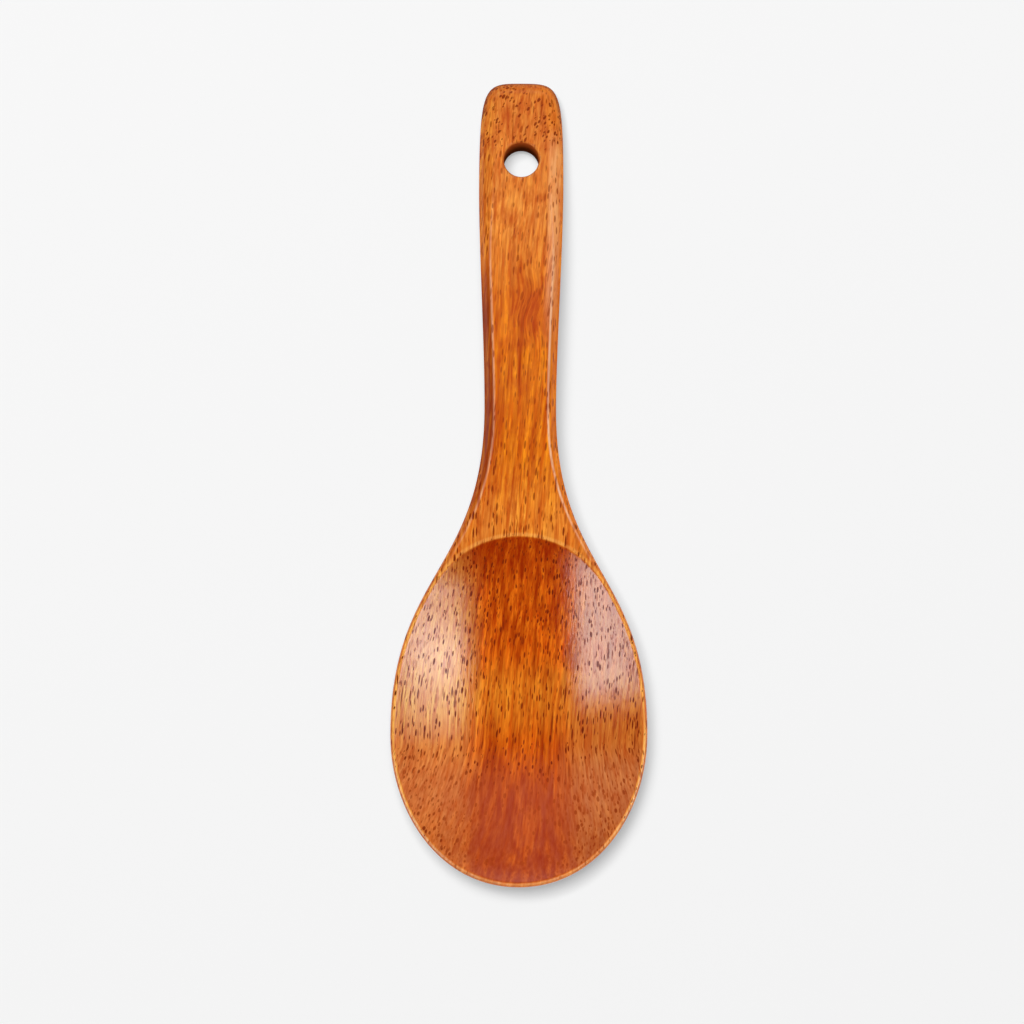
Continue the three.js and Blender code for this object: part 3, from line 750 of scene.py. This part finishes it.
# The tree's result becomes a plain mesh, and it takes the place of the faceted solid. The wood throws
# no orange tint on the table.
guide_object = bpy.data.objects.new("turner_guide", guide_mesh)
bpy.context.scene.collection.objects.link(guide_object)
modifier = guide_object.modifiers.new("carving", "NODES")
modifier.node_group = carving
for name, value in {**carving_sizes, "Wood": wood}.items():
    modifier[carving_inputs[name]] = value
evaluated = guide_object.evaluated_get(bpy.context.evaluated_depsgraph_get())
turner_mesh = bpy.data.meshes.new_from_object(evaluated)
turner_mesh.name = "lacquered_turner"
bpy.data.objects.remove(guide_object)
turner = bpy.data.objects.new("lacquered_turner", turner_mesh)
bpy.context.scene.collection.objects.link(turner)
turner.visible_diffuse = False
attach(turner, "root")
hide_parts("carved_turner")

# The table is a plain pale board with a smooth coat of matt paint, and the turner lies loose on it. A
# share of its colour shows evenly to the camera and in reflections, which keeps the shadow on it pale.
TABLE_HALF = 3
EVEN_SHARE = 0.45
corners = [(-1, -1), (1, -1), (1, 1), (-1, 1)]
table_mesh = bpy.data.meshes.new("pale_table")
table_mesh.from_pydata([(TABLE_HALF * i, TABLE_HALF * j, 0) for i, j in corners], [], [(0, 1, 2, 3)])
table = bpy.data.objects.new("pale_table", table_mesh)
bpy.context.scene.collection.objects.link(table)
matt = bpy.data.materials.new("matt_pale_paint")
matt.use_nodes = True
matt.node_tree.nodes.clear()
paint = matt.node_tree
rays = add(paint, "ShaderNodeLightPath").node.outputs
seen = 0.0
for ray in ("Is Camera Ray", "Is Glossy Ray", "Is Transmission Ray"):
    seen = add(paint, "ShaderNodeMath", seen, rays[ray], operation="MAXIMUM")
seen_share = add(paint, "ShaderNodeMath", seen, EVEN_SHARE, operation="MULTIPLY")
lit = add(paint, "ShaderNodeBsdfDiffuse", linear("#f4f4f4"))
even = add(paint, "ShaderNodeEmission", linear("#f6f6f6"), 1.0)
add(paint, "ShaderNodeOutputMaterial", add(paint, "ShaderNodeMixShader", seen_share, lit, even))
table_mesh.materials.append(matt)

# Soft studio light. Two softboxes stand left and right towards the tip and light the turner, a low
# one and one overhead, which leaves no reflection, fill in, and a lamp far above lights the table and
# casts the shadow.

# Each lamp is a panel that is turned to the turner's middle and then shifted along Y. Its size is its
# length level with the table and its height, in metres. A feather is the share of the panel over which
# its light fades at each edge as seen from the turner: right, left, low and high.
lamps = {
    "left_softbox": {
        "from": (-0.74, 0, 0.673), "distance": 1.1, "shift": -0.74, "size": (1.0, 0.72), "level": 5.9,
        "feather": (0.1, 0.52, 0.41, 0.13),
    },
    "right_softbox": {
        "from": (0.72, 0, 0.69), "distance": 1.1, "shift": -0.45, "size": (0.78, 0.82), "level": 7.9,
        "feather": (0.56, 0.58, 0.4, 0.24),
    },
    "grip_fill": {
        "from": (0, 0.84, 0.54), "distance": 1.4, "shift": 0.0, "size": (3.0, 0.9), "level": 2.0,
        "feather": (0.2, 0.2, 0.2, 0.75),
    },
    "overhead_fill": {
        "from": (0, 0.3, 1), "distance": 1.5, "shift": 0.0, "size": (1.0, 1.0), "level": 4.7,
        "feather": (0.02, 0.02, 0.02, 0.02),
    },
    "shadow_lamp": {
        "from": (-0.1, 0.2, 1), "distance": 3.0, "shift": 0.0, "size": (1.0, 1.0), "level": 31.0,
        "feather": (0.02, 0.02, 0.02, 0.02),
    },
}
turner_only = bpy.data.collections.new("turner_only")
turner_only.objects.link(turner)
table_only = bpy.data.collections.new("table_only")
table_only.objects.link(table)
for name, lamp in lamps.items():
    panel = bpy.data.lights.new(name, "AREA")
    panel.shape = "RECTANGLE"
    panel.size, panel.size_y = lamp["size"]
    panel.energy = lamp["level"] * math.pi * panel.size * panel.size_y
    panel.use_nodes = True
    glow = panel.node_tree
    glow.nodes.clear()
    on_panel = add(glow, "ShaderNodeNewGeometry").node.outputs["Parametric"]
    length_share, height_share, _ = add(glow, "ShaderNodeSeparateXYZ", on_panel).node.outputs
    right, left, low, high = lamp["feather"]
    edges = [
        (length_share, 0.0, right),
        (length_share, 1.0, 1.0 - left),
        (height_share, 0.0, low),
        (height_share, 1.0, 1.0 - high),
    ]
    strength = 1.0
    for share, dark_at, full_at in edges:
        fade = add(glow, "ShaderNodeMapRange", share, dark_at, full_at, **eased)
        strength = add(glow, "ShaderNodeMath", strength, fade, operation="MULTIPLY")
    add(glow, "ShaderNodeOutputLight", add(glow, "ShaderNodeEmission", (1, 1, 1, 1), strength))
    holder = bpy.data.objects.new(name, panel)
    toward = Vector(lamp["from"]).normalized()
    holder.location = toward * lamp["distance"] + Vector((0, lamp["shift"], 0))
    holder.rotation_euler = toward.to_track_quat("Z", "Y").to_euler()
    bpy.context.scene.collection.objects.link(holder)
    holder.light_linking.receiver_collection = table_only if name == "shadow_lamp" else turner_only
    holder.visible_glossy = name != "overhead_fill"

# The room around is almost dark.
ROOM_LEVEL = 0.02
world = bpy.data.worlds.new("dim_studio")
world.use_nodes = True
room_colour = (ROOM_LEVEL, ROOM_LEVEL, ROOM_LEVEL, 1)
world.node_tree.nodes["Background"].inputs["Color"].default_value = room_colour
bpy.context.scene.world = world

# The camera looks straight down from above the rim, with the grip at the top of the picture. It stands
# a little to the left and towards the tip, and is turned a little.
CAMERA_X = -0.00223
CAMERA_Y = -0.00785
CAMERA_HEIGHT = 1.4
CAMERA_TURN = math.radians(0.25)
PICTURE_WIDTH = 0.2919
lens = bpy.data.cameras.new("camera")
lens.sensor_width = 36
lens.lens = lens.sensor_width * CAMERA_HEIGHT / PICTURE_WIDTH
camera = bpy.data.objects.new("camera", lens)
camera.location = (CAMERA_X, CAMERA_Y, RIM_HEIGHT * MM + CAMERA_HEIGHT)
camera.rotation_euler = (0, 0, CAMERA_TURN)
bpy.context.scene.collection.objects.link(camera)
bpy.context.scene.camera = camera

bpy.context.scene.view_settings.view_transform = "Standard"
